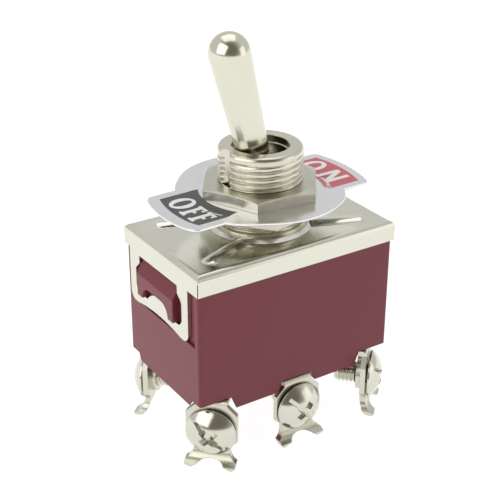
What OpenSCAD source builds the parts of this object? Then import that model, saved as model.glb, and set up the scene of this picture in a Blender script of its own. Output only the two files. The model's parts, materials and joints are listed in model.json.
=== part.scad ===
// Panel toggle switch, two poles, six screw terminals, ON - OFF. Millimetres, +Z up.
// The origin is on the bushing's axis, level with the feet of the terminals that it stands on.
// +X is the ON side and -X the OFF side; the handle leans to OFF. +Y is the rear pole.

/* [Housing] */
// Length of the steel cover along X
cover_l = 33; // [32:0.5:38]
// Width of the steel cover along Y
cover_w = 20.4; // [20:0.2:25]
// Height from the underside of the base to the top of the cover
body_h = 22.3; // [22:0.1:26]
// Thickness of the pressed steel cover
sheet_t = 0.6; // [0.5:0.05:0.6]
// How far the base's faces lie inside the cover's
base_inset = 0.25; // [0.1:0.05:0.4]
// Depth of the cover's skirt below its top
skirt_h = 3.04; // [2.6:0.1:3.6]
// Outer radius of the cover's folded edges
fold_r = 1; // [0.7:0.1:1.4]
// Thickness of the base's outer walls
wall_t = 1.9; // [1.5:0.1:2.2]
// Thickness of the base's floor
floor_t = 4; // [3.6:0.1:4.4]
// Thickness of the wall between the two poles
partition_t = 1.4; // [1:0.1:1.8]
// Height of the step under each end of the base
end_step = 0.9; // [0.4:0.1:1.2]
// Depth of the groove that a middle terminal lies in
middle_groove = 1.6; // [1.5:0.1:1.8]
// Depth of the groove that a corner terminal lies in
corner_groove = 2; // [1.7:0.1:2.2]

/* [Cover pressing] */
// Radius of the raised boss's flat top, around the bushing
boss_r = 6.9; // [6.8:0.1:8]
// Height of the raised boss and of the stiffening beads
press_h = 0.5; // [0.3:0.05:0.6]
// Width of one stiffening bead at its foot
bead_w = 2.5; // [1.8:0.1:3]
// Distance from the cover's centre to a bead's round end, along X
bead_x = 12.4; // [10.5:0.1:12.8]
// Direction of a bead, from the X axis, in degrees
bead_angle = 22; // [18:0.2:26]

/* [Straps] */
// Width of the strap that holds the base at each end
strap_w = 16.1; // [15:0.1:16.6]
// Distance from the cover's top down to the strap's lower corners
strap_drop = 11.2; // [10.4:0.1:11.6]
// How far the straps and the lugs sit behind the middle
strap_shift = 0.6; // [0:0.1:0.7]
// Width of the window in the strap
window_w = 12.8; // [12:0.1:13.4]
// Height of the bar below the window
strap_bar = 1.8; // [1.6:0.1:2.2]
// Rise of the crimp in the middle of the bar
crimp_h = 1.6; // [0.8:0.1:1.7]
// Width of the moulded lug's face inside the window
lug_w = 10; // [9:0.1:10.4]
// How far the lug stands out past the strap
lug_out = 0.6; // [0.3:0.1:0.8]

/* [Bushing] */
// Outer diameter of the threaded bushing
bushing_d = 12; // [11.8:0.1:12.4]
// Height of the bushing above the cover
bushing_h = 11.9; // [11.4:0.1:14]
// Diameter of the bushing's mouth
mouth_d = 8.06; // [7.9:0.02:8.4]
// Width of the keyway down the OFF side
keyway_w = 2.2; // [1.6:0.1:2.6]
// Depth of the keyway
keyway_depth = 0.95; // [0.6:0.05:1.1]
// Pitch of the bushing's thread
thread_pitch = 0.85; // [0.6:0.05:1]

/* [Panel hardware] */
// Size across the flats of the hexagon nuts
nut_af = 15.5; // [14.4:0.1:16]
// Thickness of one hexagon nut
nut_t = 1.7; // [1.4:0.1:2]
// Turn of the upper nut about the bushing, in degrees
nut_turn = -5.5; // [-30:0.5:30]
// Turn of the lower nut about the bushing, in degrees
lower_nut_turn = 11.5; // [-30:0.5:30]
// Thickness of the toothed lock washer
washer_t = 0.6; // [0.4:0.1:0.8]
// Diameter of the nameplate's round middle
plate_d = 24; // [22:0.5:26]
// Distance from the middle to the end of a nameplate tab
tab_r = 16.2; // [14.5:0.1:17]
// Width of a nameplate tab
tab_w = 12.2; // [10:0.1:14]
// Thickness of the nameplate
plate_t = 0.35; // [0.3:0.05:0.5]
// Turn of the nameplate about the bushing, in degrees
plate_turn = 3.3; // [-6:0.3:6]
// Height of the nameplate's underside above the cover
plate_lift = 4.85; // [4.4:0.05:5]

/* [Lever] */
// Height of the lever's pivot above the cover
pivot_lift = 6.2; // [6:0.1:6.6]
// Distance from the pivot to the middle of the handle's round tip
handle_len = 19.95; // [16:0.5:26]
// Diameter of the handle's round tip
tip_d = 5.76; // [5:0.1:7]
// Diameter of the handle where it would meet the pivot
root_d = 4.18; // [3.9:0.02:4.2]
// Lean of the handle to each side of upright, in degrees
lean = 14.5; // [12:0.5:14.5]
// Diameter of the ball that carries the lever
ball_d = 7.2; // [6.6:0.1:7.2]
// Diameter of the pivot pin
pin_d = 1.5; // [1.2:0.1:1.6]

/* [Contacts] */
// Distance of the fixed contacts from the middle, along X
contact_x = 9; // [8.8:0.1:9.6]
// Height of the rockers' pivot above the underside of the base
rocker_lift = 6; // [5.8:0.05:6.2]
// Lean of a rocker to each side of level, in degrees
rocker_lean = 8; // [7:0.5:8.5]
// Width of a rocker's strip
rocker_w = 3; // [2.4:0.1:3.2]
// Thickness of a rocker's strip
rocker_t = 0.7; // [0.5:0.1:0.8]
// Diameter of a plunger
plunger_d = 2.8; // [2.4:0.1:3]
// Diameter of the spring's wire
spring_wire = 0.35; // [0.25:0.05:0.4]

/* [Terminals] */
// Height of the base's underside above the terminals' feet
foot_h = 8.8; // [8.6:0.1:11]
// Height of the terminal screws' axes above the feet
screw_z = 5.7; // [5.4:0.1:5.8]
// Thickness of the terminals' plate
strip_t = 0.8; // [0.6:0.1:0.9]
// Width of a terminal at its screw
terminal_w = 7.4; // [6.8:0.1:8]
// Width of the tongue that passes into the base
tongue_w = 4.6; // [3.6:0.1:4.8]
// Distance of a corner terminal's face from the middle, along X
corner_x = 13.95; // [13.8:0.05:14.1]
// Distance of a corner terminal's face from the middle, along Y
corner_y = 9; // [8.9:0.05:9.1]
// How far a middle terminal's face stands out past the base
middle_out = 0.3; // [0.1:0.1:0.5]
// Diameter of a terminal screw's thread
screw_d = 3.5; // [3:0.1:3.6]
// Diameter of a terminal screw's head
head_d = 7.3; // [6.4:0.1:7.4]
// Height of a terminal screw's head
head_h = 2; // [1.6:0.1:2.2]
// Length of a terminal screw below its head
screw_l = 5.2; // [4:0.2:5.4]

/* [Hidden] */
$fn = 64;

// The poles lie front and rear, and the contacts of each pole on the OFF and the ON side.
POLES = [["front", -1], ["rear", 1]];
ENDS = [["off", -1], ["on", 1]];

// Clearances and small allowances
fit = 0.05;          // running fit of a pin, trunnion or plunger, on the radius
seat = 0.1;          // gap between a tongue and its slot
contact_gap = 0.1;   // gap left between closed contacts
eps = 0.01;          // overlap of a cut with the face that it opens

// Heights
cover_top = foot_h + body_h;
base_top = cover_top - sheet_t;
floor_top = foot_h + floor_t;
pivot_z = cover_top + pivot_lift;
rocker_z = foot_h + rocker_lift;
plate_z = cover_top + plate_lift;
upper_nut_z = plate_z + plate_t;
washer_z = plate_z - washer_t;
lower_nut_z = washer_z - nut_t;

// Base housing
base_l = cover_l - 2 * base_inset;
base_w = cover_w - 2 * base_inset;
base_edge_r = 0.5;
cover_inner_l = cover_l - 2 * sheet_t;
cover_inner_w = cover_w - 2 * sheet_t;
rebate_gap = 0.05;                       // between the cover's skirt and the base's rebated top
cavity_l = base_l - 2 * wall_t;
cavity_w = base_w - 2 * wall_t;
pocket_x = cover_inner_l / 2 - rebate_gap;  // floor of the pocket that a strap lies in
pocket_side = 1.1;                       // rib left beside a pocket
pocket_drop = strap_drop + 0.1;
window_top = skirt_h + 0.4;
lug_slope_h = 2.4;                       // height of the lug's sloping face
lug_ridge = window_top + lug_slope_h;
lug_bottom = strap_drop - strap_bar - 0.15;
lug_leg = 1.4;                           // width of the lug's two legs
lug_arch = 1.95;                         // height of the hollow between the legs
end_step_l = 1.2;                        // length of the step under each end
groove_w = tongue_w + 0.6;               // width of a terminal's groove at its bottom
groove_flare = 0.6;                      // how far each side of a groove leans out to its mouth

// Bushing: the thread is drawn at its outer diameter where it is free and at its pitch diameter in the nuts.
bushing_r = bushing_d / 2;
thread_depth = 0.6134 * thread_pitch;    // of a 60 degree thread
engaged_r = bushing_r - thread_depth / 2;
mouth_r = mouth_d / 2;
bore_r = mouth_r - 0.18;
rim_r = 0.6;                             // rounding of the bushing's top edge
mouth_depth = 1.2;                       // depth of the step inside the bushing's mouth
flange_r = cavity_w / 2 - 0.15;
flange_t = 1.2;
collar_r = boss_r - 0.3;
collar_h = 0.5;
swing_r = bore_r + 1.1;                  // flare that lets the lever's tail swing
pin_len = bushing_d - 1.6;

// Lever
tip_r = tip_d / 2;
root_r = root_d / 2;
bat_start = 4.6;                         // distance from the pivot to the handle's lower end
neck_r = 1.8;
tail_len = 13;

// Actuator block, plungers and springs, measured down from the lever's pivot
block_top = 9.6;
block_bottom = 14;
block_l = 6.4;
tower_bottom = 17.6;
tower_r = 2.3;
pole_y = corner_y - (corner_x - contact_x);
plunger_r = plunger_d / 2;
tip_ball_r = plunger_r - 0.2;
bore_top = block_top + 0.9;
spring_len = 2.6;
spring_r = plunger_r - spring_wire / 2 - fit;
spring_turns = 5;

// Rockers: the dished middle follows the path of the plunger's tip, seen from the rocker.
dish_z = 1;                              // height of the dish's lowest point above the pivot
mid_z = dish_z + contact_gap + tip_ball_r;
tip_len = pivot_z - rocker_z - mid_z;    // from the lever's pivot to the centre of a plunger's tip
end_x = tip_len * sin(lean);
end_z = pivot_z - rocker_z - tip_len * cos(lean);
path_x = end_x * cos(rocker_lean) - end_z * sin(rocker_lean);
path_z = end_x * sin(rocker_lean) + end_z * cos(rocker_lean) - mid_z;
path_r = (path_x * path_x + path_z * path_z) / (2 * path_z);
dish_r = path_r + tip_ball_r + contact_gap;
dish_angle = asin(path_x / path_r) + 3;
bend_r = 1.6;
dish_mid_r = dish_r + rocker_t / 2;
arm_x = (dish_mid_r + bend_r) * sin(dish_angle);
arm_z = mid_z + path_r - dish_mid_r * cos(dish_angle) + bend_r * (1 - cos(dish_angle));
trunnion_r = 0.7;
ear_t = 0.7;
ear_gap = 0.2;                           // between a rocker and each ear of its saddle

// Contact buttons
button_r = 1.4;
button_h = 0.8;
dome_r = 2.6;
dome_z = arm_z - rocker_t / 2 - button_h + dome_r;
button_x = (contact_x - dome_z * sin(rocker_lean)) / cos(rocker_lean);
arm_end = button_x + button_r + 0.3;
touch_z = rocker_z - button_x * sin(rocker_lean) + dome_z * cos(rocker_lean) - dome_r;
fixed_r = 1.7;

// Wall between the poles: it stops short of the actuator block as it swings.
partition_top = pivot_z - block_bottom * cos(lean) - block_l / 2 * sin(lean) - 0.4;

// Terminals
middle_y = base_w / 2 + middle_out;
corner_run = 4.9;                        // from a corner terminal's face in to its tongue
middle_run = middle_y - cavity_w / 2 + seat + strip_t;
shoulder = (terminal_w - tongue_w) / 2;
hook_r = 2;                              // inner radius of the hooked lower end
hook_angle = 65;
hook_tip = 0.5;
hook_z = (hook_r + strip_t) * sin(hook_angle) + hook_tip * cos(hook_angle);
neck_cut_r = 1.6;
neck_w = 5.3;
neck_z = 2.6;
scoop_r = 3.3;                           // hollow between the two claws
scoop_z = 1.4;
claw_r = 0.8;                            // rounding of each claw's outer corner
screw_r = screw_d / 2;
head_gap = 0.2;
boss_h = 0.8;
boss_wall = 0.75;

// A flat shape in the X-Z plane, as wide as w along Y
module across(w) {
    rotate([90, 0, 0]) linear_extrude(w, center = true) children();
}

// A flat shape with its first axis along Y, as thick as t along X
module along(t) {
    rotate([90, 0, 90]) linear_extrude(t) children();
}

// A rectangle with round corners, in the middle of the plane
module round_rect(l, w, r) {
    union() {
        square([l - 2 * r, w], center = true);
        square([l, w - 2 * r], center = true);
        for (x = [-1, 1], y = [-1, 1])
            translate([x * (l / 2 - r), y * (w / 2 - r)]) circle(r);
    }
}

// The half-plane shape of a folded sheet's section: width w, height h, top edges rounded by r
module fold_section(w, h, r) {
    union() {
        translate([-w / 2, -h]) square([w, h - r]);
        translate([-w / 2 + r, -h]) square([w - 2 * r, h]);
        for (s = [-1, 1]) translate([s * (w / 2 - r), -r]) circle(r);
    }
}

// A box with its top at height 0 and its top edges rounded by r, like a folded cover
module folded_box(l, w, h, r) {
    intersection() {
        across(w) fold_section(l, h, r);
        rotate([0, 0, 90]) across(l) fold_section(w, h, r);
    }
}

// Moves a child to a corner terminal's face, turned to look outwards
module at_corner(p, e) {
    translate([e * corner_x, p * corner_y, 0]) rotate([0, 0, p * (e > 0 ? 45 : 135)]) children();
}

// Moves a child to a middle terminal's face, turned to look outwards
module at_middle(p) {
    translate([0, p * middle_y, 0]) rotate([0, 0, p * 90]) children();
}

// Moves a child into the lever's own frame, at the OFF position
module on_lever() {
    translate([0, 0, pivot_z]) rotate([0, -lean, 0]) children();
}

// Moves a child into a rocker's own frame, at the OFF position
module on_rocker(p) {
    translate([0, p * pole_y, rocker_z]) rotate([0, rocker_lean, 0]) children();
}

// Base: a moulded box with a wall between the poles, a lug on each end and grooves for the terminals

module lug() {
    lug_face = cover_l / 2 + lug_out;
    translate([0, strap_shift, 0]) difference() {
        across(lug_w) polygon([
            [pocket_x - eps, cover_top - window_top - 0.3],
            [lug_face, cover_top - lug_ridge],
            [lug_face, cover_top - lug_bottom],
            [pocket_x - eps, cover_top - lug_bottom]]);
        translate([pocket_x, 0, cover_top - lug_bottom]) along(lug_face - pocket_x + eps)
            intersection() {
                round_rect(lug_w - 2 * lug_leg, 2 * lug_arch, lug_arch - eps);
                translate([-lug_w / 2, -eps]) square([lug_w, lug_arch + eps]);
            }
    }
}

module terminal_groove(run, depth) {
    mouth = groove_w / 2 + groove_flare;
    translate([-run - seat, 0, foot_h]) along(run + base_w / 2)
        polygon([[-mouth, -eps], [mouth, -eps], [groove_w / 2, depth], [-groove_w / 2, depth]]);
    translate([-run - seat, -tongue_w / 2 - seat, foot_h])
        cube([strip_t + 2 * seat, tongue_w + 2 * seat, floor_t + 1]);
}

module base_housing() {
    color("#7a4a50") difference() {
        union() {
            difference() {
                union() {
                    translate([0, 0, foot_h]) linear_extrude(cover_top - skirt_h - rebate_gap - foot_h)
                        round_rect(base_l, base_w, base_edge_r);
                    translate([0, 0, base_top])
                        folded_box(2 * pocket_x, cover_inner_w - 2 * rebate_gap, body_h / 2, base_edge_r);
                }
                for (p = [-1, 1])
                    translate([-cavity_l / 2, p > 0 ? partition_t / 2 : -cavity_w / 2, floor_top])
                        cube([cavity_l, (cavity_w - partition_t) / 2, body_h]);
                translate([-cavity_l / 2, -cavity_w / 2, partition_top])
                    cube([cavity_l, cavity_w, body_h]);
                for (s = [0, 1]) mirror([s, 0, 0])
                    translate([pocket_x, -base_w / 2 + pocket_side, cover_top - pocket_drop])
                        cube([base_l, base_w - 2 * pocket_side, body_h]);
            }
            for (s = [0, 1]) mirror([s, 0, 0]) lug();
        }
        for (p = [-1, 1]) {
            at_middle(p) terminal_groove(middle_run, middle_groove);
            for (e = [-1, 1]) at_corner(p, e) terminal_groove(corner_run, corner_groove);
        }
        for (s = [0, 1]) mirror([s, 0, 0])
            translate([base_l / 2 - end_step_l, -base_w, foot_h - eps])
                cube([base_l, 2 * base_w, end_step + eps]);
    }
}

// Cover: one folded sheet with a raised boss, four beads and a strap at each end

module strap_outline() {
    bar_bottom = -strap_drop;
    bow_h = 0.6;
    strap_corner_r = 1.3;
    bow_side = 2;
    bow_w = strap_w - 2 * bow_side;
    bow_r = (bow_w * bow_w / 4 + bow_h * bow_h) / (2 * bow_h);
    crimp_w = window_w / 2;
    crimp_r = (crimp_w * crimp_w / 4 + crimp_h * crimp_h) / (2 * crimp_h);
    jog = 1.1;
    step_drop = 1.2;                     // how far below its top the window widens
    window_corner_r = 1.2;
    window_bottom = -strap_drop + strap_bar;
    wide_top = -window_top - step_drop - jog;
    difference() {
        union() {
            translate([0, -(strap_drop + 1) / 2]) round_rect(strap_w, strap_drop - 1, strap_corner_r);
        }
        translate([0, bar_bottom + bow_h - bow_r]) circle(bow_r, $fn = 128);
        difference() {
            union() {
                polygon([[-window_w / 2 + jog, -window_top], [window_w / 2 - jog, -window_top],
                    [window_w / 2 - jog, -window_top - step_drop], [window_w / 2, wide_top],
                    [window_w / 2, window_bottom + window_corner_r],
                    [-window_w / 2, window_bottom + window_corner_r], [-window_w / 2, wide_top],
                    [-window_w / 2 + jog, -window_top - step_drop]]);
                translate([0, window_bottom + window_corner_r])
                    round_rect(window_w, 2 * window_corner_r, window_corner_r - eps);
            }
            translate([0, window_bottom + crimp_h - crimp_r]) circle(crimp_r);
        }
    }
}

// A bead is the top of a round-ended rod sunk in the sheet; grow changes the rod's radius.
module bead(inset, low) {
    rod_r = (bead_w * bead_w / 4 + press_h * press_h) / (2 * press_h);
    start_x = boss_r * 0.75;
    offset_y = 1.84;                     // where the bead's centre line would cross the Y axis
    length = (bead_x - start_x) / cos(bead_angle);
    intersection() {
        translate([start_x, offset_y + start_x * tan(bead_angle), press_h - rod_r])
            rotate([0, 0, bead_angle]) {
                rotate([0, 90, 0]) cylinder(r = rod_r - inset, h = length);
                translate([length, 0, 0]) sphere(rod_r - inset);
            }
        translate([0, 0, low]) cube([cover_l / 2, cover_w / 2, press_h - low]);
    }
}

// The boss and beads; inset 0 is their outside and inset sheet_t the hollow beneath them
module pressed_forms(inset, low) {
    foot_r = boss_r + press_h - inset;
    translate([0, 0, low]) cylinder(r = foot_r, h = -inset - low + eps);
    translate([0, 0, -inset]) cylinder(r1 = foot_r, r2 = boss_r - inset, h = press_h);
    for (x = [0, 1], y = [0, 1]) mirror([x, 0, 0]) mirror([0, y, 0]) bead(inset, low);
}

module top_cover() {
    slit = 0.12;
    color("#d4d4ca") translate([0, 0, cover_top]) difference() {
        union() {
            difference() {
                folded_box(cover_l, cover_w, skirt_h, fold_r);
                translate([0, 0, -sheet_t])
                    folded_box(cover_inner_l, cover_inner_w, skirt_h, fold_r - sheet_t);
            }
            for (s = [0, 1]) mirror([s, 0, 0])
                translate([cover_inner_l / 2, strap_shift, 0]) along(sheet_t) difference() {
                    strap_outline();
                    translate([-strap_w, -fold_r]) square([2 * strap_w, 2 * fold_r]);
                }
            pressed_forms(0, -sheet_t / 2);
        }
        pressed_forms(sheet_t, -sheet_t - eps);
        translate([0, 0, -skirt_h]) cylinder(r = bushing_r + seat, h = 2 * skirt_h);
        for (x = [-1, 1], y = [-1, 1])
            translate([x * cover_l / 2, y * cover_w / 2, -skirt_h / 2 - fold_r])
                rotate([0, 0, x * y * 45]) cube([2 * fold_r, slit, skirt_h], center = true);
    }
}

// Bushing: a turned tube, staked into the cover between a flange and a collar

module bushing() {
    top = cover_top + bushing_h;
    flange_z = base_top - flange_t;
    neck_top = pivot_z - ball_d / 2 - 1;
    keyway_r = keyway_w / 2;
    color("#d8d6c8") difference() {
        rotate_extrude() difference() {
            union() {
                translate([0, flange_z]) square([bushing_r, top - flange_z - rim_r]);
                translate([0, flange_z]) square([bushing_r - rim_r, top - flange_z]);
                translate([bushing_r - rim_r, top - rim_r]) intersection() {
                    circle(rim_r);
                    square(rim_r);
                }
                translate([0, flange_z]) square([flange_r, flange_t]);
                translate([0, cover_top + press_h]) square([collar_r, collar_h]);
            }
            translate([-1, 0]) square([bore_r + 1, top + 1]);
            translate([-1, top - mouth_depth]) square([mouth_r + 1, mouth_depth + 1]);
            polygon([[0, flange_z - eps], [swing_r, flange_z - eps], [bore_r, neck_top], [0, neck_top]]);
            for (z = [lower_nut_z, upper_nut_z])
                translate([engaged_r, z]) square([thread_depth, nut_t]);
        }
        translate([-bushing_r + keyway_depth - keyway_r, 0, cover_top + press_h + collar_h])
            cylinder(r = keyway_r, h = bushing_h);
        translate([0, 0, pivot_z]) rotate([90, 0, 0]) cylinder(d = pin_d, h = 2 * bushing_d, center = true);
    }
}

// Panel hardware

module hex_nut(turn) {
    corner_r = nut_af / 2 / cos(30);
    corner_drop = 0.35;                  // how far the turned chamfer lowers the corners
    past = corner_r + 1;
    past_drop = corner_drop * (past - nut_af / 2) / (corner_r - nut_af / 2);
    rotate([0, 0, turn]) difference() {
        intersection() {
            cylinder(r = corner_r, h = nut_t, $fn = 6);
            rotate_extrude() polygon([[0, -eps], [past, -eps], [past, nut_t - past_drop],
                [nut_af / 2, nut_t], [0, nut_t]]);
        }
        translate([0, 0, -1]) cylinder(r = engaged_r + eps, h = nut_t + 2);
    }
}

module lower_nut() {
    color("#c9c9be") translate([0, 0, lower_nut_z]) hex_nut(lower_nut_turn);
}

module upper_nut() {
    color("#c9c9be") translate([0, 0, upper_nut_z]) hex_nut(nut_turn);
}

module lock_washer() {
    teeth = 12;
    ring_r = bushing_r + 1.6;
    tooth_l = 1.2;
    color("#b9b9ae") translate([0, 0, washer_z]) linear_extrude(washer_t) difference() {
        union() {
            circle(ring_r);
            for (i = [0 : teeth - 1]) rotate(i * 360 / teeth)
                translate([ring_r - 0.3, -0.8]) square([tooth_l + 0.3, 1.6]);
        }
        circle(bushing_r + seat);
    }
}

// The two tabs of the nameplate, with round corners where their sides meet the end arcs
module tabs() {
    tab_corner_r = 1.2;
    arc_side = tab_w / 2 - tab_corner_r;
    arc_turn = asin(arc_side / (tab_r - tab_corner_r));
    arc_x = (tab_r - tab_corner_r) * cos(arc_turn);
    union() {
        square([2 * arc_x, tab_w], center = true);
        for (x = [-1, 1]) {
            intersection() {
                circle(tab_r, $fn = 96);
                polygon([[0, 0], [x * 2 * arc_x, -2 * arc_side], [x * 2 * arc_x, 2 * arc_side]]);
            }
            for (y = [-1, 1]) translate([x * arc_x, y * arc_side]) circle(tab_corner_r);
        }
    }
}

module nameplate() {
    key_l = 1.2;
    key_w = keyway_w - 0.8;
    key_gap = 0.35;
    color("#e2e2e0") translate([0, 0, plate_z]) linear_extrude(plate_t) union() {
        difference() {
            union() {
                circle(plate_d / 2, $fn = 96);
                rotate(plate_turn) tabs();
            }
            circle(bushing_r + seat);
        }
        translate([-bushing_r + keyway_depth - key_gap - key_l, -key_w / 2]) square([key_l, key_w]);
    }
}

// Lever: a bat handle, a ball on the pivot pin and a tail that drives the actuator block

module toggle_lever() {
    flute_r = 1.1;
    flute_lean = 2.6;
    flute_top = 9.9;
    flute_turn = 24;
    taper = (tip_r - root_r) / handle_len;
    tilt_z = tip_r * taper;
    color("#dcdcd0") on_lever() difference() {
        union() {
            rotate_extrude() union() {
                polygon([[0, bat_start], [root_r + taper * bat_start, bat_start],
                    [tip_r, handle_len - tilt_z], [0, handle_len - tilt_z]]);
                translate([0, handle_len]) intersection() {
                    circle(tip_r);
                    translate([0, -tip_r]) square([tip_r, 2 * tip_r]);
                }
                intersection() {
                    circle(ball_d / 2);
                    translate([0, -ball_d / 2]) square([ball_d / 2, ball_d]);
                }
                translate([0, -tail_len]) square([neck_r, tail_len + bat_start + eps]);
            }
        }
        rotate([90, 0, 0]) cylinder(r = pin_d / 2 + fit, h = ball_d + 2, center = true);
        for (side = [0, 180]) rotate([0, 0, flute_turn + side])
            translate([root_r + taper * flute_top + flute_r, 0, flute_top]) rotate([0, 180 + flute_lean, 0])
                cylinder(r = flute_r, h = flute_top - bat_start + 1);
    }
}

module pivot_pin() {
    color("#b8b8ac") translate([0, 0, pivot_z]) rotate([90, 0, 0])
        cylinder(d = pin_d, h = pin_len, center = true);
}

// Actuator: an insulating block on the lever's tail, with a tower for each pole's plunger

module actuator_block() {
    color("#2c2a28") on_lever() difference() {
        union() {
            translate([-block_l / 2, -pole_y, -block_bottom])
                cube([block_l, 2 * pole_y, block_bottom - block_top]);
            for (p = [-1, 1]) translate([0, p * pole_y, 0]) {
                translate([0, 0, -block_bottom]) cylinder(d = block_l, h = block_bottom - block_top);
                translate([0, 0, -tower_bottom]) cylinder(r = tower_r, h = tower_bottom - block_top);
            }
        }
        translate([0, 0, -tail_len]) cylinder(r = neck_r, h = tail_len);
        for (p = [-1, 1]) translate([0, p * pole_y, -tower_bottom - 1])
            cylinder(r = plunger_r + fit, h = tower_bottom - bore_top + 1);
    }
}

module plunger(p) {
    color("#e8e4d8") on_lever() translate([0, p * pole_y, -tip_len]) {
        sphere(tip_ball_r);
        cylinder(r = tip_ball_r, h = tip_len - tower_bottom);
        translate([0, 0, 1]) cylinder(r = plunger_r, h = tip_len - 1 - bore_top - spring_len);
    }
}

// A coil spring drawn as a closed sleeve of rings, one ring for each turn
module spring(p) {
    pitch = spring_len / spring_turns;
    color("#c0c0b8") on_lever() translate([0, p * pole_y, -bore_top - spring_len]) union() {
        for (i = [0 : spring_turns - 1]) translate([0, 0, (i + 0.5) * pitch])
            rotate_extrude($fn = 32) translate([spring_r, 0]) circle(spring_wire / 2, $fn = 16);
        difference() {
            cylinder(r = spring_r, h = spring_len);
            translate([0, 0, -1]) cylinder(r = spring_r - spring_wire / 2, h = spring_len + 2);
        }
    }
}

// Rocker: a strip with a dished middle that see-saws in its saddle as the plunger slides along it

module rocker_profile() {
    centre_z = mid_z + path_r;
    outer_r = dish_r + rocker_t;
    bend_z = arm_z - bend_r;
    intersection() {
        difference() {
            translate([0, centre_z]) circle(outer_r, $fn = 128);
            translate([0, centre_z]) circle(dish_r, $fn = 128);
        }
        polygon([[0, centre_z], [-outer_r * 2 * sin(dish_angle), centre_z - outer_r * 2 * cos(dish_angle)],
            [outer_r * 2 * sin(dish_angle), centre_z - outer_r * 2 * cos(dish_angle)]]);
    }
    for (s = [0, 1]) mirror([s, 0]) {
        translate([arm_x, bend_z]) intersection() {
            difference() {
                circle(bend_r + rocker_t / 2);
                circle(bend_r - rocker_t / 2);
            }
            polygon([[0, 0], [0, 3 * bend_r], [-3 * bend_r * tan(dish_angle), 3 * bend_r]]);
        }
        translate([arm_x - eps, arm_z - rocker_t / 2]) square([arm_end - arm_x + eps, rocker_t]);
    }
}

module rocker(p) {
    color("#b8934a") on_rocker(p) union() {
        across(rocker_w) rocker_profile();
        rotate([90, 0, 0])
            cylinder(r = trunnion_r, h = rocker_w + 2 * (ear_gap + ear_t), center = true);
    }
}

module moving_contact(p, e) {
    color("#d9d9d4") on_rocker(p) translate([e * button_x, 0, arm_z - rocker_t / 2 - button_h])
        intersection() {
            cylinder(r = button_r, h = button_h);
            translate([0, 0, dome_r]) sphere(dome_r);
        }
}

module fixed_contact(p, e) {
    height = touch_z - contact_gap - floor_top - strip_t;
    color("#d9d9d4") translate([e * contact_x, p * pole_y, floor_top + strip_t])
        cylinder(r = fixed_r, h = height);
}

// Terminals: strip that lies in the base's groove, folds down outside it and ends in two claws

module strip_section(run, inner, top) {
    fold = top - strip_t;
    difference() {
        union() {
            translate([-strip_t, hook_z]) square([strip_t, top - hook_z]);
            translate([-run, fold]) square([run, strip_t]);
        }
        translate([-strip_t, fold]) difference() {
            square(strip_t + eps);
            circle(strip_t);
        }
    }
    translate([-run, fold]) square([strip_t, floor_top + strip_t - fold]);
    translate([-inner, floor_top]) square([inner - run + strip_t, strip_t]);
}

module hook_section() {
    far = 4 * hook_r;
    translate([hook_r, hook_z]) union() {
        intersection() {
            difference() {
                circle(hook_r + strip_t);
                circle(hook_r);
            }
            polygon([[0, 0], [-far, 0], [-far, -far], [-far * cos(hook_angle), -far * sin(hook_angle)]]);
        }
        rotate(hook_angle) translate([-hook_r - strip_t, -hook_tip]) square([strip_t, hook_tip + eps]);
    }
}

module plate_outline(top) {
    fold = top - strip_t;
    difference() {
        polygon([[-tongue_w / 2, top], [tongue_w / 2, top], [tongue_w / 2, fold],
            [terminal_w / 2, fold - shoulder], [terminal_w / 2, 0], [-terminal_w / 2, 0],
            [-terminal_w / 2, fold - shoulder], [-tongue_w / 2, fold]]);
        for (s = [-1, 1]) translate([s * (neck_w / 2 + neck_cut_r), neck_z]) circle(neck_cut_r);
        translate([0, scoop_z - scoop_r]) circle(scoop_r);
        for (s = [-1, 1]) translate([s * (terminal_w / 2 - claw_r), claw_r]) difference() {
            translate([s > 0 ? 0 : -claw_r - eps, -claw_r - eps]) square(claw_r + eps);
            circle(claw_r);
        }
    }
}

module terminal_strip(run, inner, top) {
    difference() {
        union() {
            intersection() {
                across(terminal_w) {
                    translate([-strip_t, hook_z]) square([strip_t, top - strip_t - hook_z]);
                    hook_section();
                }
                translate([-strip_t, 0, 0]) along(hook_r + 2 * strip_t) plate_outline(top);
            }
            across(tongue_w) strip_section(run, inner, top);
            translate([-strip_t - boss_h, 0, screw_z]) rotate([0, 90, 0])
                cylinder(r = screw_r + boss_wall, h = boss_h);
        }
        translate([-2 * strip_t - boss_h, 0, screw_z]) rotate([0, 90, 0])
            cylinder(r = screw_r + eps, h = 3 * strip_t + boss_h);
    }
}

module corner_terminal(p, e) {
    pad_reach = (corner_x - contact_x) * sqrt(2);
    color("#cfcfc4") at_corner(p, e) union() {
        terminal_strip(corner_run, pad_reach, foot_h + corner_groove - seat);
        translate([-pad_reach, 0, floor_top]) cylinder(r = tongue_w / 2, h = strip_t);
    }
}

module middle_terminal(p) {
    ear_out = rocker_w / 2 + ear_gap;
    pad_reach = middle_y - pole_y + ear_out + ear_t;
    ear_h = rocker_z + trunnion_r - floor_top;
    color("#cfcfc4") at_middle(p) difference() {
        union() {
            terminal_strip(middle_run, pad_reach, foot_h + middle_groove - seat);
            for (side = [-1, 1])
                translate([-middle_y + pole_y + side * (ear_out + ear_t / 2) - ear_t / 2, -tongue_w / 2,
                        floor_top])
                    cube([ear_t, tongue_w, ear_h]);
        }
        translate([-middle_y + pole_y, 0, rocker_z]) rotate([0, 90, 0])
            cylinder(r = trunnion_r + fit, h = 2 * (ear_out + ear_t + 1), center = true);
        translate([-middle_y + pole_y - ear_out - ear_t - 1, -trunnion_r - fit, rocker_z])
            cube([2 * (ear_out + ear_t + 1), 2 * (trunnion_r + fit), 2 * trunnion_r]);
    }
}

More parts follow.
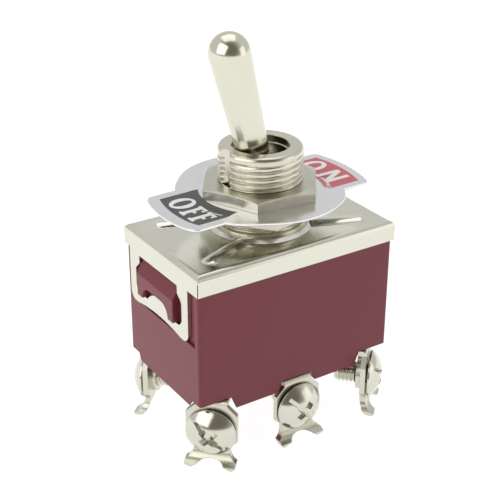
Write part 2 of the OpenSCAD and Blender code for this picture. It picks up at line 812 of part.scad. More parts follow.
module terminal_screw() {
    slot_w = 0.9;
    slot_depth = 0.9;
    cross_l = 3.6;
    head_crown = (head_d * head_d / 4 + head_h * head_h) / (2 * head_h);
    color("#c9cabf") translate([head_gap, 0, screw_z]) rotate([0, 90, 0]) difference() {
        union() {
            intersection() {
                cylinder(d = head_d, h = head_h);
                translate([0, 0, head_h - head_crown]) sphere(head_crown, $fn = 96);
            }
            translate([0, 0, -screw_l]) cylinder(r = screw_r, h = screw_l + eps);
        }
        rotate([0, 0, 45]) {
            translate([-head_d / 2, -slot_w / 2, head_h - slot_depth]) cube([head_d, slot_w, head_h]);
            translate([-slot_w / 2, -cross_l / 2, head_h - slot_depth]) cube([slot_w, cross_l, head_h]);
        }
    }
}

base_housing();
top_cover();
bushing();
lower_nut();
lock_washer();
nameplate();
upper_nut();
toggle_lever();
pivot_pin();
actuator_block();
for (p = POLES) {
    plunger(p[1]);
    spring(p[1]);
    rocker(p[1]);
    middle_terminal(p[1]);
    at_middle(p[1]) terminal_screw();
    for (e = ENDS) {
        moving_contact(p[1], e[1]);
        fixed_contact(p[1], e[1]);
        corner_terminal(p[1], e[1]);
        at_corner(p[1], e[1]) terminal_screw();
    }
}
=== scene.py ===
# %% [markdown]
# # A panel toggle switch, ON - OFF
# A two-pole toggle switch: a moulded base under a strapped steel cover, a threaded
# bushing with two nuts and a printed plate, a bat handle, and six screw terminals.
# The solid model is finished already. This lesson dresses it: three kinds of piece are
# modelled again with detail that a solid model leaves out, and every piece gets a
# finish built from nodes.

# %% Load the solid model
import json
from math import asin, atan2, cos, hypot, pi, radians, sin, sqrt

import bmesh
import bpy
from mathutils import Matrix, Vector


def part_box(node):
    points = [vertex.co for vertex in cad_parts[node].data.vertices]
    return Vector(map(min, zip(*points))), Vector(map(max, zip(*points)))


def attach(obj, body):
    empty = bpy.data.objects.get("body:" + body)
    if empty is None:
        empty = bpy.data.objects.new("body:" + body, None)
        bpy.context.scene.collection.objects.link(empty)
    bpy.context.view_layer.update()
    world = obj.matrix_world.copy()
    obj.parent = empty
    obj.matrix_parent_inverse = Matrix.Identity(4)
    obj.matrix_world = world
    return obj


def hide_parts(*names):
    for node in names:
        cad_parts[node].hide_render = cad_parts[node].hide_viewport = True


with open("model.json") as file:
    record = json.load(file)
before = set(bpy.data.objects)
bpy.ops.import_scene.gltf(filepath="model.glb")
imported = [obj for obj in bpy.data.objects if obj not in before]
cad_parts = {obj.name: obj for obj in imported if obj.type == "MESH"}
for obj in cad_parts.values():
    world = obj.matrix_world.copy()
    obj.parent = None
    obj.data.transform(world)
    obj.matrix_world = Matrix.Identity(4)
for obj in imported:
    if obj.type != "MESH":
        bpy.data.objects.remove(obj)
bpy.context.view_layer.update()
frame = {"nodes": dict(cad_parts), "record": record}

mm = 0.001
nodes = frame["nodes"]
mounts = {mount["name"]: mount for mount in frame["record"]["mounts"]}
print(f"{len(nodes)} pieces, {len(mounts)} mounts")

# %% [markdown]
# ## The camera
# The switch is seen from above its front left corner. A camera that is told where to
# look, from which bearing and height and how far off is easier to read than one with
# a position and three angles, so its frame is worked out from those. A small roll
# keeps the handle's lean true.

# %% Camera
BEARING = radians(33.27)      # from the front towards the OFF side
RISE = radians(26.34)
ROLL = radians(0.22)
AIM = Vector((-1.07, 0.92, 26.48)) * mm
DISTANCE = 166.2 * mm

away = Vector((-sin(BEARING) * cos(RISE), -cos(BEARING) * cos(RISE), sin(RISE)))
right = Vector((cos(BEARING), -sin(BEARING), 0))
right = Matrix.Rotation(ROLL, 3, away) @ right
up = away.cross(right)

camera = bpy.data.objects.new("camera", bpy.data.cameras.new("camera"))
camera.data.lens = 82.76
camera.data.sensor_width = 36
camera.data.clip_start = 5 * mm
camera.matrix_world = Matrix.Translation(AIM + away * DISTANCE) @ Matrix(
    (right, up, away)).transposed().to_4x4()
bpy.context.scene.collection.objects.link(camera)
bpy.context.scene.camera = camera
print("camera at", [round(x / mm, 1) for x in camera.location])

# %% [markdown]
# ## One way to add a node
# A finish is a small tree of nodes. Each node needs its settings and its inputs, and an
# input is either a value or another node's output, so one function does all of it.
# Colours are written as sRGB hex values, and Blender's sockets want linear ones.

# %% Node and colour helpers
def find(sockets, name):
    """A socket by its identifier or name: a Mix node has several of one name."""
    return next(s for s in sockets if name in (s.identifier, s.name))


def add_node(tree, kind, inputs=None, **settings):
    made = tree.nodes.new(kind)
    for name, value in settings.items():
        setattr(made, name, value)
    for name, value in (inputs or {}).items():
        if isinstance(value, bpy.types.NodeSocket):
            tree.links.new(value, find(made.inputs, name))
        else:
            find(made.inputs, name).default_value = value
    return made


def linear(hex_colour):
    parts = [int(hex_colour[i:i + 2], 16) / 255 for i in (1, 3, 5)]
    return tuple(c / 12.92 if c <= 0.04045 else ((c + 0.055) / 1.055) ** 2.4 for c in parts) + (1,)


def new_material(name):
    material = bpy.data.materials.new(name)
    material.use_nodes = True
    tree = material.node_tree
    shader = tree.nodes["Principled BSDF"]
    place = add_node(tree, "ShaderNodeTexCoord").outputs["Object"]
    return material, tree, shader, place


print("linear value of a mid grey:", round(linear("#808080")[0], 3))

# %% [markdown]
# ## Metal finishes
# Nearly everything that shows is nickel. Plating copies the surface beneath it, so what
# differs between a pressed sheet, a turned nut and a polished handle is how rough it is
# and which way its marks run. One function builds them all: a tint that wanders a
# little, a roughness that wanders with handling, fine marks as bump, and a softened
# edge, because no real edge is knife sharp.

# %% A plated or bare metal
def metal(name, light, dark, roughness, spread, grain, stretch, depth, edge):
    """light and dark are the tints it wanders between; roughness wanders by spread. The
    marks are grain mm apart and depth mm deep, drawn out along an axis by stretch."""
    material, tree, shader, place = new_material(name)
    clouds = add_node(tree, "ShaderNodeTexNoise",
                      {"Vector": place, "Scale": 1 / (6 * mm), "Detail": 3.0})
    tint = add_node(tree, "ShaderNodeMix",
                    {"Factor": clouds.outputs["Fac"], "A_Color": linear(dark),
                     "B_Color": linear(light)}, data_type="RGBA")
    squeeze = add_node(tree, "ShaderNodeMapping", {"Vector": place, "Scale": stretch})
    marks = add_node(tree, "ShaderNodeTexNoise",
                     {"Vector": squeeze.outputs["Vector"], "Scale": 1 / (grain * mm),
                      "Detail": 2.0})
    wander = add_node(tree, "ShaderNodeMapRange",
                      {"Value": clouds.outputs["Fac"], "From Min": 0.3, "From Max": 0.7,
                       "To Min": roughness - spread, "To Max": roughness + spread})
    soft_edge = add_node(tree, "ShaderNodeBevel", {"Radius": edge * mm}, samples=6)
    bump = add_node(tree, "ShaderNodeBump",
                    {"Height": marks.outputs["Fac"], "Distance": depth * mm,
                     "Normal": soft_edge.outputs["Normal"]})
    tree.links.new(find(tint.outputs, "Result_Color"), shader.inputs["Base Color"])
    tree.links.new(wander.outputs["Result"], shader.inputs["Roughness"])
    tree.links.new(bump.outputs["Normal"], shader.inputs["Normal"])
    shader.inputs["Metallic"].default_value = 1.0
    return material


nickel_sheet = metal("bright_nickel_on_pressed_steel", "#dcdccf", "#d3d2c5",
                     0.17, 0.04, 0.35, (1, 1, 1), 0.004, 0.12)
nickel_turned = metal("nickel_on_turned_brass", "#d6d3c4", "#cac7b7",
                      0.2, 0.05, 0.12, (1, 1, 6), 0.004, 0.08)
nickel_nut = metal("nickel_on_sheared_steel", "#cfcdc0", "#bcbaac",
                   0.24, 0.07, 0.15, (7, 1, 1), 0.008, 0.22)
nickel_handle = metal("polished_nickel_on_steel_handle", "#dad8c9", "#d1cfbf",
                      0.17, 0.03, 0.3, (1, 1, 0.3), 0.003, 0.15)
nickel_terminal = metal("nickel_on_stamped_brass", "#d3d1c3", "#c6c4b4",
                        0.26, 0.06, 0.2, (1, 1, 4), 0.005, 0.12)
nickel_screw = metal("nickel_on_steel_screw", "#d6d5c9", "#cac9bc",
                     0.18, 0.04, 0.15, (1, 1, 1), 0.003, 0.1)
spring_steel = metal("oiled_spring_steel", "#a9a79c", "#8f8d82",
                     0.35, 0.06, 0.2, (1, 1, 5), 0.004, 0.05)
rocker_brass = metal("rolled_phosphor_bronze", "#c9995c", "#b98a4e",
                     0.32, 0.05, 0.2, (5, 1, 1), 0.004, 0.05)
contact_silver = metal("fine_silver_contact", "#eceae4", "#dedcd5",
                       0.28, 0.04, 0.2, (1, 1, 1), 0.003, 0.05)
plate_aluminium = metal("satin_anodised_aluminium", "#e8e8e9", "#e0e0e2",
                        0.22, 0.03, 0.08, (1, 9, 1), 0.002, 0.06)
print("metals:", len(bpy.data.materials))

# %% [markdown]
# ## Moulded plastics
# The base is phenolic, pressed hot in a polished steel mould. It is hard, a little
# glossy and slightly mottled by its wood-flour filler, and it takes a faint orange
# peel. The same function makes the plain mouldings inside, with other colours.

# %% A moulded plastic
def moulding(name, light, dark, roughness, fleck, peel, edge, ior):
    """fleck is the size of the mottling and peel the height of the orange peel, in mm."""
    material, tree, shader, place = new_material(name)
    mottle = add_node(tree, "ShaderNodeTexNoise",
                      {"Vector": place, "Scale": 1 / (fleck * mm), "Detail": 4.0,
                       "Roughness": 0.6})
    tint = add_node(tree, "ShaderNodeMix",
                    {"Factor": mottle.outputs["Fac"], "A_Color": linear(dark),
                     "B_Color": linear(light)}, data_type="RGBA")
    wander = add_node(tree, "ShaderNodeMapRange",
                      {"Value": mottle.outputs["Fac"], "From Min": 0.3, "From Max": 0.7,
                       "To Min": roughness - 0.04, "To Max": roughness + 0.04})
    skin = add_node(tree, "ShaderNodeTexNoise",
                    {"Vector": place, "Scale": 1 / (0.8 * mm), "Detail": 2.0})
    soft_edge = add_node(tree, "ShaderNodeBevel", {"Radius": edge * mm}, samples=6)
    bump = add_node(tree, "ShaderNodeBump",
                    {"Distance": peel * mm, "Height": skin.outputs["Fac"],
                     "Normal": soft_edge.outputs["Normal"]})
    tree.links.new(find(tint.outputs, "Result_Color"), shader.inputs["Base Color"])
    tree.links.new(wander.outputs["Result"], shader.inputs["Roughness"])
    tree.links.new(bump.outputs["Normal"], shader.inputs["Normal"])
    shader.inputs["IOR"].default_value = ior
    return material


maroon_phenolic = moulding("maroon_phenolic", "#78303b", "#6c2832", 0.4, 0.5, 0.012, 0.25, 1.42)
black_phenolic = moulding("black_phenolic", "#2c2a29", "#232120", 0.45, 0.5, 0.01, 0.1, 1.6)
white_nylon = moulding("natural_nylon", "#e2dccb", "#d8d2c0", 0.5, 0.8, 0.005, 0.1, 1.53)
print("materials:", len(bpy.data.materials))

# %% [markdown]
# ## Printing ink
# The plate's two words stand in printed patches. Screen ink is a thin, slightly uneven
# film: it is a little mottled, and rougher than the aluminium under it.

# %% An ink film
def ink(name, light, dark, roughness):
    material, tree, shader, place = new_material(name)
    film = add_node(tree, "ShaderNodeTexNoise",
                    {"Vector": place, "Scale": 1 / (0.9 * mm), "Detail": 3.0})
    tint = add_node(tree, "ShaderNodeMix",
                    {"Factor": film.outputs["Fac"], "A_Color": linear(dark),
                     "B_Color": linear(light)}, data_type="RGBA")
    bump = add_node(tree, "ShaderNodeBump",
                    {"Distance": 0.003 * mm, "Height": film.outputs["Fac"]})
    tree.links.new(find(tint.outputs, "Result_Color"), shader.inputs["Base Color"])
    tree.links.new(bump.outputs["Normal"], shader.inputs["Normal"])
    shader.inputs["Roughness"].default_value = roughness
    shader.inputs["IOR"].default_value = 1.5
    return material


black_ink = ink("black_screen_ink", "#474849", "#3c3d3e", 0.34)
red_ink = ink("red_screen_ink", "#d2606c", "#c85662", 0.36)
white_ink = ink("white_screen_ink", "#f6f6f4", "#eeeeec", 0.4)
print("inks:", black_ink.name, red_ink.name, white_ink.name)

# %% [markdown]
# ## Dressing the solid model's own pieces
# Where a node's shape is right already, only its material slot changes. The table says
# which finish each kind of piece has, by the start of its name.

# %% Give each node its finish
FINISHES = {
    "base_housing": maroon_phenolic, "top_cover": nickel_sheet, "bushing": nickel_turned,
    "lower_nut": nickel_nut, "upper_nut": nickel_nut, "lock_washer": spring_steel,
    "nameplate": plate_aluminium, "toggle_lever": nickel_handle, "pivot_pin": nickel_turned,
    "actuator_block": black_phenolic, "plunger": white_nylon, "spring": spring_steel,
    "rocker": rocker_brass, "moving_contact": contact_silver, "fixed_contact": contact_silver,
    "middle_terminal": nickel_terminal, "corner_terminal": nickel_terminal,
    "middle_screw": nickel_screw, "corner_screw": nickel_screw,
}
for name, node in nodes.items():
    finish = next(f for start, f in FINISHES.items() if name.startswith(start))
    node.data.materials.clear()
    node.data.materials.append(finish)
print("finished nodes:", len(nodes))

# %% [markdown]
# ## A grid becomes a piece
# A turned or helical part is a grid: each column is one cut through its axis, and each
# row goes round. A grid that closes in both directions is a solid skin with no stray
# faces. Edges sharper than 35 degrees stay crisp, and the rest are shaded smooth.

# %% Piece helpers
SHARP = radians(35)


def add_piece(name, mesh, finish, slot, *replaced):
    mesh.materials.append(finish)
    mesh.shade_smooth()
    mesh.set_sharp_from_angle(angle=SHARP)
    piece = bpy.data.objects.new(name, mesh)
    bpy.context.scene.collection.objects.link(piece)
    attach(piece, "housing")
    if replaced:
        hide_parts(*replaced)
    return piece


def closed_grid(name, columns):
    """A skin through columns of points, joined round in both directions."""
    rows = len(columns[0])
    points = [point for column in columns for point in column]
    faces = []
    for i in range(len(columns)):
        a, b = i * rows, (i + 1) % len(columns) * rows
        faces += [(a + j, b + j, b + (j + 1) % rows, a + (j + 1) % rows) for j in range(rows)]
    mesh = bpy.data.meshes.new(name)
    mesh.from_pydata(points, [], faces)
    mesh.validate()
    return mesh


# %% [markdown]
# ## The threaded bushing
# The bushing is turned from bar: a thread outside, a rounded nose, a bore with a wider
# mouth, and a keyway milled down the OFF side. A screw modifier would make the thread
# but not end it cleanly in the nose and the keyway. So one profile goes up the outside
# and down the inside, and each column moves it: in and out for the helix, and inwards
# where the keyway's cutter reached.

# %% Bushing sizes
bush_low, bush_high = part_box("bushing")
boss_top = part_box("top_cover")[1].z
crest_r = mounts["bushing_thread"]["dims"]["r_mm"] * mm
THREAD_PITCH = 0.85 * mm
THREAD_DEPTH = 0.34 * mm      # shallower than a full thread of this pitch
THREAD_ROWS = 12              # rows to one turn of the thread
FULL_DEPTH = 0.6134           # depth of a 60 degree thread, in pitches
GROOVE, FLANK = 0.55, 0.5     # where a groove starts and how fast it deepens, 0 to 1
LEAD = 0.5 * mm               # plain length above the thread
NOSE_R = 0.6 * mm
MOUTH_R, MOUTH_DEPTH = 4.03 * mm, 1.2 * mm
BORE_R = 3.85 * mm
COLLAR_R, COLLAR_H = 6.6 * mm, 0.5 * mm
SHEET, PRESS = 0.6 * mm, 0.5 * mm    # the cover's sheet and how far its boss is raised
COLLAR_EDGE, LIP = 0.1 * mm, 0.15 * mm     # small chamfers on the collar and the mouth
SWING_R = 4.95 * mm
SWING_H = 3.4 * mm
KEYWAY_R, KEYWAY_DEPTH = 1.1 * mm, 0.95 * mm
keyway_x = crest_r - KEYWAY_DEPTH + KEYWAY_R      # distance of the cutter's centre
thread_low = boss_top + COLLAR_H
nose_low = bush_high.z - NOSE_R
thread_high = nose_low - LEAD
pitch_r = crest_r - FULL_DEPTH * THREAD_PITCH / 2   # where the nuts' own thread meets it
gripped = [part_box(nut) for nut in ("lower_nut", "upper_nut")]
print(f"thread runs from {thread_low / mm:.1f} to {thread_high / mm:.1f} mm")


# %% Bushing profile and its columns
def thread_r(z, turn):
    """Radius of the thread at a height and a part of a turn: wide crests, narrow grooves.
    Inside the nuts it stays at the pitch diameter, clear of their threads."""
    if any(low.z < z < high.z for low, high in gripped):
        return pitch_r
    phase = (z / THREAD_PITCH - turn) % 1
    slope = abs(2 * phase - 1)                       # 1 at a crest, 0 at a root
    cut = min(1, max(0, (GROOVE - slope) / FLANK))
    fade = min(thread_high - z, z - thread_low) / (0.5 * THREAD_PITCH)   # at the thread's ends
    return crest_r - THREAD_DEPTH * cut * min(1, max(0, fade))


def bushing_column(angle):
    from_key = angle % (2 * pi) - pi                 # angle from the OFF side
    turn = angle / (2 * pi)
    reach = sin(from_key) * keyway_x
    cutter_r = 1.0
    if abs(reach) < KEYWAY_R and cos(from_key) > 0:
        cutter_r = keyway_x * cos(from_key) - sqrt(KEYWAY_R ** 2 - reach ** 2)
    base_top = boss_top - PRESS - SHEET
    flange_r = bush_high.x if bush_high.x > COLLAR_R else COLLAR_R
    outline = [(flange_r, bush_low.z), (flange_r, base_top), (crest_r, base_top),
               (crest_r, boss_top), (COLLAR_R, boss_top), (COLLAR_R, thread_low - COLLAR_EDGE),
               (COLLAR_R - COLLAR_EDGE, thread_low)]
    steps = int(THREAD_ROWS * (thread_high - thread_low) / THREAD_PITCH)
    for i in range(steps + 1):
        z = thread_low + (thread_high - thread_low) * i / steps
        outline.append((min(thread_r(z, turn), cutter_r), z))
    for i in range(1, 9):
        lift = radians(90 * i / 8)
        r = crest_r - NOSE_R + NOSE_R * cos(lift)
        outline.append((min(r, cutter_r), nose_low + NOSE_R * sin(lift)))
    mouth_low = bush_high.z - MOUTH_DEPTH
    outline += [(MOUTH_R + LIP, bush_high.z), (MOUTH_R, bush_high.z - LIP),
                (MOUTH_R, mouth_low), (BORE_R, mouth_low), (BORE_R, bush_low.z + SWING_H),
                (SWING_R, bush_low.z)]
    return [Vector((-r * cos(from_key), -r * sin(from_key), z)) for r, z in outline]


# Columns are close together at the ON side, and even elsewhere. The keyway lies
# opposite, among the even ones, so its walls come out slanted.
key_half = asin(KEYWAY_R / keyway_x)
angles = [-key_half + 2 * key_half * i / 24 for i in range(25)]
angles += [key_half + (2 * pi - 2 * key_half) * i / 150 for i in range(1, 150)]
bushing = add_piece("threaded_bushing", closed_grid("threaded_bushing",
                    [bushing_column(angle) for angle in angles]),
                    nickel_turned, "nickel_turned", "bushing")
print("bushing:", len(bushing.data.polygons), "faces")

# %% [markdown]
# ## The ON - OFF plate
# The plate is punched from thin sheet: a disc with two tabs, and a key that sits in the
# keyway; the key is not built here, so the hole is round. The nuts hold it flat, and
# beyond them it has been bent a little in handling.
# Its outline is a radius for each direction, the larger of the disc's and the tab's, so
# a grid in polar form makes the plate, and one function bends the plate and its print.

# %% Plate sizes and bend
plate_low, plate_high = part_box("nameplate")
PLATE_R, TAB_R, TAB_HALF, TAB_CORNER = 12.0 * mm, 16.2 * mm, 6.1 * mm, 1.2 * mm
PLATE_TURN = radians(3.3)
HOLE_R = crest_r + 0.1 * mm
HELD_R, FREE_R = 8.6 * mm, 10.2 * mm   # the nuts and washer hold the plate flat inside HELD_R
TILT_X, TILT_Y = -0.016, 0.045
TAB_DROOP, FRONT_CURL = 0.28 * mm, 0.54 * mm


def ease(value, start, end):
    """0 below start, 1 above end, and a smooth step between."""
    t = min(1, max(0, (value - start) / (end - start)))
    return t * t * (3 - 2 * t)


def bent(x, y, z):
    """A point of the flat plate, moved to where the bent plate has it."""
    tilt = TILT_X * x + TILT_Y * y
    droop = TAB_DROOP * ease(abs(x), 6 * mm, 9.5 * mm)
    curl = FRONT_CURL * ease(-y, 3 * mm, PLATE_R)
    return Vector((x, y, z + ease(hypot(x, y), HELD_R, FREE_R) * (tilt - droop + curl)))


def on_plate(u, v, z):
    """A point given along the plate's tabs (u) and across them (v)."""
    return bent(u * cos(PLATE_TURN) - v * sin(PLATE_TURN),
                u * sin(PLATE_TURN) + v * cos(PLATE_TURN), z)


print("plate is", round((plate_high.z - plate_low.z) / mm, 2), "mm thick")


# %% Nameplate
def plate_reach(angle):
    """Distance from the middle to the plate's edge, in the plate's own direction: the
    tab's end arc, its round corner, its side and then the disc."""
    along, across = abs(cos(angle)), abs(sin(angle))
    if atan2(across, along) <= arc_end:
        return TAB_R
    if atan2(across, along) >= corner_end:
        return max(PLATE_R, TAB_HALF / across)
    ahead = corner_x * along + corner_y * across
    return ahead + sqrt(ahead ** 2 - corner_x ** 2 - corner_y ** 2 + TAB_CORNER ** 2)


corner_y = TAB_HALF - TAB_CORNER
corner_x = sqrt((TAB_R - TAB_CORNER) ** 2 - corner_y ** 2)
arc_end, corner_end = atan2(corner_y, corner_x), atan2(TAB_HALF, corner_x)
stops = [0, arc_end, corner_end, asin(TAB_HALF / PLATE_R), pi / 2]
quarter = [stops[k] + (stops[k + 1] - stops[k]) * i / count
           for k, count in enumerate((16, 10, 10, 30)) for i in range(count)]
plate_angles = (quarter + [pi - a for a in [pi / 2] + quarter[:0:-1]]
                + [pi + a for a in quarter] + [2 * pi - a for a in [pi / 2] + quarter[:0:-1]])
EDGE = 0.06 * mm
plate_columns = []
for angle in plate_angles:
    reach = plate_reach(angle)
    radii = [HOLE_R + (reach - EDGE - HOLE_R) * i / 16 for i in range(17)]
    column = [(r, plate_high.z) for r in radii]
    column += [(reach, plate_high.z - EDGE), (reach, plate_low.z + EDGE)]
    column += [(r, plate_low.z) for r in reversed(radii)]
    plate_columns.append([on_plate(r * cos(angle), r * sin(angle), z) for r, z in column])
nameplate = add_piece("on_off_plate", closed_grid("on_off_plate", plate_columns),
                      plate_aluminium, "aluminium_plate", "nameplate")
print("plate:", len(nameplate.data.polygons), "faces")

# %% [markdown]
# ## Printed patches and letters
# The patches are printed first and the words in white over them. Both are thin
# films laid on the plate, built flat in the plate's own directions and then bent with
# it. Each letter is made of strokes: a stroke is a strip of quads between two lines, so
# a round letter and a straight one come from the same function.

# %% Films on the plate
INK = 0.012 * mm
LETTER = 0.024 * mm


def film(name, strips, thickness, finish):
    """strips are lists of (left, right) points in u, v; each becomes a thin closed strip."""
    shape = bmesh.new()
    for strip in strips:
        top = [[shape.verts.new(on_plate(u, v, plate_high.z + thickness)) for u, v in pair]
               for pair in strip]
        low = [[shape.verts.new(on_plate(u, v, plate_high.z - thickness)) for u, v in pair]
               for pair in strip]
        for i in range(len(strip) - 1):
            for j in range(len(strip[0]) - 1):
                shape.faces.new((top[i][j], top[i + 1][j], top[i + 1][j + 1], top[i][j + 1]))
                shape.faces.new((low[i][j], low[i][j + 1], low[i + 1][j + 1], low[i + 1][j]))
            for j in (0, len(strip[0]) - 1):
                shape.faces.new((top[i][j], low[i][j], low[i + 1][j], top[i + 1][j]))
        for i in (0, len(strip) - 1):
            for j in range(len(strip[0]) - 1):
                shape.faces.new((top[i][j], top[i][j + 1], low[i][j + 1], low[i][j]))
    bmesh.ops.recalc_face_normals(shape, faces=shape.faces)
    mesh = bpy.data.meshes.new(name)
    shape.to_mesh(mesh)
    shape.free()
    return add_piece(name, mesh, finish, "aluminium_plate")


def patch(side, inner, outer, half):
    """A patch between two arcs about the bushing, on the tab at that side."""
    columns = []
    for i in range(33):
        v = half * (2 * i / 32 - 1)
        near, far = sqrt(inner ** 2 - v ** 2), sqrt(outer ** 2 - v ** 2)
        columns.append([(side * (near + (far - near) * j / 16), v) for j in range(17)])
    return [columns]


black_patch = film("off_patch", patch(-1, 8.75 * mm, 14.5 * mm, 4.75 * mm), INK, black_ink)
red_patch = film("on_patch", patch(1, 9.05 * mm, 14.9 * mm, 4.8 * mm), INK, red_ink)
print("patches:", len(black_patch.data.polygons), len(red_patch.data.polygons), "faces")


# %% Letters
def bar(x0, y0, x1, y1):
    """An upright rectangle of a letter, from corner to corner, in mm."""
    return [[(x0, y0), (x1, y0)], [(x0, y1), (x1, y1)]]


def ring(width, height, side, top):
    """A letter O: an oval of strokes, side thick at its sides and top thick at its ends."""
    middle = (width / 2, height / 2)
    strip = []
    for i in range(49):
        a = 2 * pi * i / 48
        strip.append([(middle[0] + (middle[0] - side * k) * cos(a),
                       middle[1] + (middle[1] - top * k) * sin(a)) for k in (1, 0)])
    return strip


def slab_f(width, height, stem, thin):
    """A letter F with slabs: a stem, two arms and a foot."""
    return [bar(0.25, 0, 0.25 + stem, height),
            bar(0, 0, stem + 0.5, thin), bar(0, height - thin, width, height),
            bar(width - thin * 0.8, height - 0.95, width, height),
            bar(0.25, height * 0.5 - thin / 2, width - 0.35, height * 0.5 + thin / 2)]


def plain_n(width, height, stem):
    """A letter N: two stems and a slope."""
    return [bar(0, 0, stem, height), bar(width - stem, 0, width, height),
            [[(0, height), (stem * 1.15, height)], [(width - stem * 1.15, 0), (width, 0)]]]


def word(name, foot, letters):
    """Letters as (start, strips), reading towards -v with their tops towards +u; foot is
    where their feet stand on the tab, in mm."""
    strips = []
    for start, shapes in letters:
        for strip in shapes:
            strips.append([[((foot + y) * mm, (start - x) * mm) for x, y in pair]
                           for pair in strip])
    return film(name, strips, LETTER, white_ink)


off_word = word("off_letters", -13.75, [
    (3.5, [ring(3.0, 4.0, 0.85, 0.5)]),
    (0.05, [*slab_f(1.8, 3.7, 0.7, 0.5)]),
    (-2.1, [*slab_f(1.8, 3.7, 0.7, 0.5)])])
on_word = word("on_letters", 9.7, [
    (4.1, [ring(3.0, 4.3, 0.75, 0.7)]),
    (-0.3, [*plain_n(2.8, 4.3, 0.7)])])
print("letters:", len(off_word.data.polygons) + len(on_word.data.polygons), "faces")

# %% [markdown]
# ## The terminal screws
# A combination screw has a low domed head with a slot right across and a cross recess,
# so either driver fits. The dome and shank are turned, which is a lathe shape, and the
# recesses are cut by tapered blades with booleans, the way that a punch forms them: one
# thin and long for the slot, and two that are broad and short for the cross.
# One screw is made in its own frame, looking along +X, and six are placed by the mounts.

# %% Screw sizes
screw_low, screw_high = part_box("middle_screw_front")
HEAD_R = (screw_high.x - screw_low.x) / 2
HEAD_H, HEAD_GAP = 2.0 * mm, 0.2 * mm
HEAD_RIM = 0.35 * mm
SHANK_R, SHANK_L, SHANK_PITCH = 1.75 * mm, 5.2 * mm, 0.6 * mm
THREAD_CUT, RUN_OUT, POINT = 0.32 * mm, 0.4 * mm, 0.35 * mm
SLOT_W, CROSS_W, CROSS_L, SLOT_DEEP = 0.65 * mm, 1.1 * mm, 3.5 * mm, 1.1 * mm
print(f"head {2 * HEAD_R / mm:.1f} mm across")


# %% One screw
def screw_blank():
    """The lathe shape: (distance along the axis, radius), closed on its axis."""
    dome_h = HEAD_H - HEAD_RIM
    dome_r = (HEAD_R ** 2 + dome_h ** 2) / (2 * dome_h)
    dome_a = asin(HEAD_R / dome_r)
    columns, around = [], 96
    for k in range(around):
        a = 2 * pi * k / around
        outline = [(-SHANK_L, 0.0), (-SHANK_L, 0.7 * SHANK_R)]
        steps = int(10 * (SHANK_L - RUN_OUT) / SHANK_PITCH)
        for i in range(steps + 1):
            x = -SHANK_L + POINT + (SHANK_L - RUN_OUT) * i / steps
            phase = (x / SHANK_PITCH - k / around) % 1
            cut = min(1, max(0, 1.1 - 2.2 * abs(phase - 0.5)))
            outline.append((x, SHANK_R - THREAD_CUT * cut))
        outline += [(0, SHANK_R - 0.3 * mm), (0, HEAD_R - 0.15 * mm), (0.12 * mm, HEAD_R),
                    (HEAD_RIM, HEAD_R)]
        for i in range(1, 17):
            tilt = dome_a * (1 - i / 16)
            outline.append((HEAD_H - dome_r * (1 - cos(tilt)), dome_r * sin(tilt)))
        columns.append([Vector((x, r * cos(a), r * sin(a))) for x, r in outline])
    mesh = closed_grid("screw_blank", columns)
    shape = bmesh.new()
    shape.from_mesh(mesh)
    bmesh.ops.remove_doubles(shape, verts=shape.verts, dist=1e-7)
    bmesh.ops.recalc_face_normals(shape, faces=shape.faces)
    shape.to_mesh(mesh)
    shape.free()
    return mesh


def blade(length, floor_length, width):
    """A driver's blade: wider and longer at the dome's surface than at its floor."""
    shape = bmesh.new()
    corners = []
    for x, l, w in ((HEAD_H - SLOT_DEEP, floor_length, width * 0.85),
                    (HEAD_H + 0.5 * mm, length, width * 1.1)):
        corners.append([shape.verts.new((x, sy * l / 2, sz * w / 2))
                        for sy, sz in ((-1, -1), (1, -1), (1, 1), (-1, 1))])
    low, top = corners
    shape.faces.new(low)
    shape.faces.new(top)
    for i in range(4):
        shape.faces.new((low[i], low[(i + 1) % 4], top[(i + 1) % 4], top[i]))
    bmesh.ops.recalc_face_normals(shape, faces=shape.faces)
    mesh = bpy.data.meshes.new("blade")
    shape.to_mesh(mesh)
    shape.free()
    return mesh


def cut_screw():
    """The blank with the slot and the cross cut, as a mesh."""
    blank = bpy.data.objects.new("screw_blank", screw_blank())
    cutters = [(blade(3 * HEAD_R, 3 * HEAD_R, SLOT_W), -45),
               (blade(CROSS_L * 1.15, CROSS_L * 0.5, CROSS_W), -45),
               (blade(CROSS_L * 1.15, CROSS_L * 0.5, CROSS_W), 45)]
    made = [blank]
    bpy.context.scene.collection.objects.link(blank)
    for mesh, turn in cutters:
        tool = bpy.data.objects.new("blade", mesh)
        tool.rotation_euler.x = radians(turn)
        bpy.context.scene.collection.objects.link(tool)
        cut = blank.modifiers.new("recess", "BOOLEAN")
        cut.operation, cut.solver, cut.object = "DIFFERENCE", "EXACT", tool
        made.append(tool)
    bpy.context.view_layer.update()
    depsgraph = bpy.context.evaluated_depsgraph_get()
    done = bpy.data.meshes.new_from_object(blank.evaluated_get(depsgraph))
    for item in made:
        bpy.data.objects.remove(item)
    return done


screw_mesh = cut_screw()
print("one screw:", len(screw_mesh.polygons), "faces")

# %% Six screws in place
for mount in mounts.values():
    if "clamp" not in mount["name"]:
        continue
    node = mount["name"].replace("clamp", "screw")
    out = Vector(mount["axis"]).normalized()
    across = Vector((0, 0, 1)).cross(out)
    place = Matrix((out, across, Vector((0, 0, 1)))).transposed().to_4x4()
    place.translation = Vector(mount["pos_m"]) + out * HEAD_GAP
    mesh = screw_mesh.copy()
    mesh.materials.clear()
    mesh.transform(place)
    add_piece(f"{node}_cut", mesh, nickel_screw, "nickel_turned", node)
print("screws placed:", sum("clamp" in name for name in mounts))

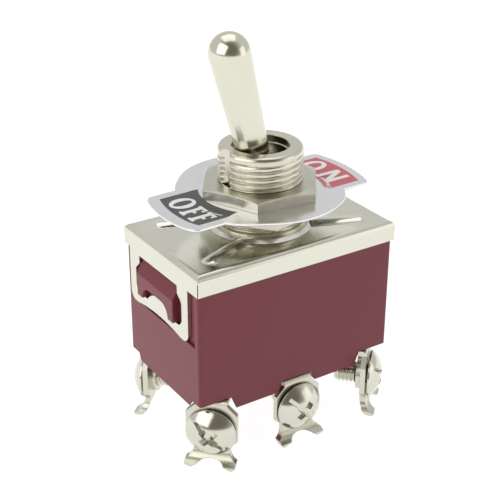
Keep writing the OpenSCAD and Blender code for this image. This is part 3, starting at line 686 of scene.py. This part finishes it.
# %% [markdown]
# ## The studio
# A pale floor under the switch, a white surround, a large soft light from the left, one
# from above and a weak one from the right. The paper is lit from beneath as well, as on
# a light table, so it stays white and takes almost no shadow. Polished metal shows what
# stands round it, so the surround is not evenly white: it darkens towards the room
# behind the camera, which draws the dark lines along the folds and edges.

# %% Floor
def sheet_of_floor(size):
    mesh = bpy.data.meshes.new("studio_floor")
    h = size / 2
    mesh.from_pydata([(-h, -h, 0), (h, -h, 0), (h, h, 0), (-h, h, 0)], [], [(0, 1, 2, 3)])
    return mesh


floor_paper, tree, shader, place = new_material("white_paper")
fibre = add_node(tree, "ShaderNodeTexNoise", {"Vector": place, "Scale": 1 / (0.5 * mm)})
shade = add_node(tree, "ShaderNodeMix",
                 {"Factor": fibre.outputs["Fac"], "A_Color": linear("#8c8c8c"),
                  "B_Color": linear("#929292")}, data_type="RGBA")
tree.links.new(find(shade.outputs, "Result_Color"), shader.inputs["Base Color"])
shader.inputs["Roughness"].default_value = 0.9
shader.inputs["Emission Color"].default_value = linear("#ffffff")
shader.inputs["Emission Strength"].default_value = 0.92
floor_piece = bpy.data.objects.new("studio_floor", sheet_of_floor(6.0))
floor_piece.data.materials.append(floor_paper)
floor_piece.location.z = -0.05 * mm
bpy.context.scene.collection.objects.link(floor_piece)
print("floor 6 m across")


# %% Lights and surround
def soft_light(name, position, size, power, colour):
    """A square light that faces the switch; position in mm, power in watts."""
    light = bpy.data.lights.new(name, "AREA")
    light.energy, light.size, light.color = power, size * mm, linear(colour)[:3]
    lamp = bpy.data.objects.new(name, light)
    spot = Vector(position) * mm
    facing = (spot - AIM).normalized().to_track_quat("Z", "Y")
    lamp.matrix_world = Matrix.Translation(spot) @ facing.to_matrix().to_4x4()
    bpy.context.scene.collection.objects.link(lamp)
    return lamp


soft_light("key_light", (-900, -150, 600), 1000, 5.0, "#ffffff")
soft_light("top_light", (100, 250, 1000), 900, 2.0, "#ffffff")
soft_light("fill_light", (700, -700, 300), 600, 0.8, "#fffaf2")

surround = bpy.data.worlds.new("surround")
surround.use_nodes = True
tree = surround.node_tree
background = tree.nodes["Background"]
look = add_node(tree, "ShaderNodeTexCoord").outputs["Generated"]
toward = add_node(tree, "ShaderNodeVectorMath", {"Vector": look, "Vector_001": away},
                  operation="DOT_PRODUCT")
shade = add_node(tree, "ShaderNodeValToRGB", {"Fac": toward.outputs["Value"]})
ramp = shade.color_ramp
ramp.elements[0].position, ramp.elements[0].color = 0.25, linear("#ffffff")
ramp.elements[1].position, ramp.elements[1].color = 0.8, linear("#8c877a")
tree.links.new(shade.outputs["Color"], background.inputs["Color"])
background.inputs["Strength"].default_value = 0.75
bpy.context.scene.world = surround
bpy.context.scene.view_settings.view_transform = "Standard"
print("surround darkens towards", [round(x, 2) for x in away])
